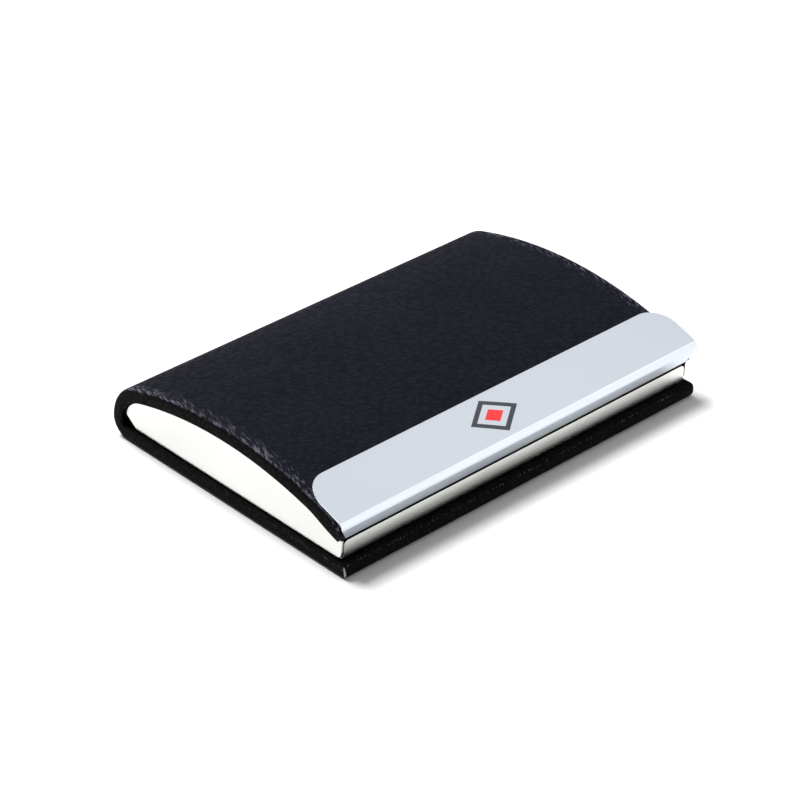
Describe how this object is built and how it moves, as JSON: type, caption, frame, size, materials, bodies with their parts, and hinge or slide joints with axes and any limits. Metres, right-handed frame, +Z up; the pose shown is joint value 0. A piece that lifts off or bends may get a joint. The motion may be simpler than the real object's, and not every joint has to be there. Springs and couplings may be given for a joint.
{
  "type": "business card case",
  "caption": "Slim magnetic business card case: arched leather lid with a steel front edge over a folded steel card tray, hinged by a bending leather spine.",
  "frame": {"origin": "middle of the underside, closed", "axes": "+X along the case, -Y towards the opening edge with the steel plate, +Y towards the spine, +Z up through the lid"},
  "size_m": [0.095, 0.066, 0.0164],
  "materials": {
    "leather": "embossed fine pebble grain, low sheen",
    "lining": "matt woven lining",
    "board": "plain grey board",
    "tape": "double-sided adhesive tape",
    "tray_steel": "bright rolled stainless sheet",
    "plate_steel": "satin stainless sheet with a polished bent lip",
    "magnet": "nickel-plated"
  },
  "bodies": {
    "base": {"base_leather": "leather", "base_board": "board", "base_lining": "lining", "tray_tape": "tape", "card_tray": "tray_steel"},
    "spine": {"spine_leather": "leather", "spine_board": "board", "spine_lining": "lining"},
    "lid": {"lid_leather": "leather", "lid_board": "board", "liner_pad": "tape", "lid_liner": "tray_steel", "magnet_left": "magnet", "magnet_right": "magnet", "plate_tape": "tape", "front_plate": "plate_steel"}
  },
  "joints": [
    {"name": "spine_fold", "type": "hinge", "parent": "base", "child": "spine", "pos_m": [0, 0.03183, 0.00117], "axis": [-1, 0, 0], "range_deg": [0, 87]},
    {"name": "lid_fold", "type": "hinge", "parent": "spine", "child": "lid", "pos_m": [0, 0.02981, 0.01084], "axis": [-1, 0, 0], "range_deg": [0, 87]}
  ],
  "couplings": [
    {"joint": "spine_fold", "follows": "lid_fold", "ratio": 1}
  ]
}
